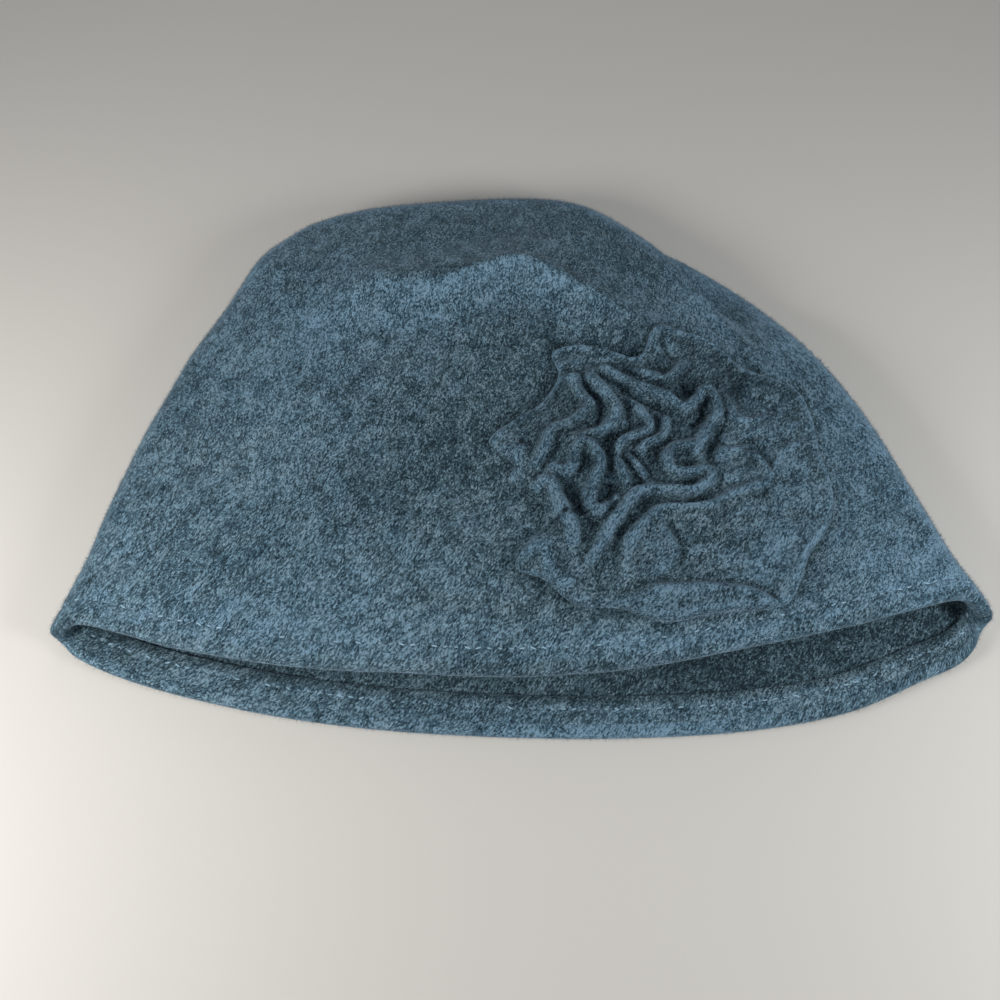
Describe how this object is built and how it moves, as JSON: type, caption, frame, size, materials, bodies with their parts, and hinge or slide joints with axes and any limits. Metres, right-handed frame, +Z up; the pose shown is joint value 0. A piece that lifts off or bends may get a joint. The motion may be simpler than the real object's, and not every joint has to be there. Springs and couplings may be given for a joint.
{
  "type": "wool hat",
  "caption": "Soft knitted wool hat lying flat, with a turned-in hem round its open mouth and a ruched rosette on one side.",
  "frame": {"origin": "on the surface that the hat lies on, under the middle of its width and length", "axes": "+X across the mouth towards the rosette's side, +Y from the mouth to the tip, +Z up from the surface"},
  "size_m": [0.28, 0.1916, 0.033],
  "materials": {
    "crown": "fuzzy heathered blue-grey wool knit",
    "hem": "fuzzy heathered blue-grey wool knit",
    "rosette": "fuzzy heathered blue-grey wool knit"
  },
  "bodies": {
    "root": {"crown": "crown", "hem": "hem", "rosette": "rosette"}
  },
  "joints": []
}
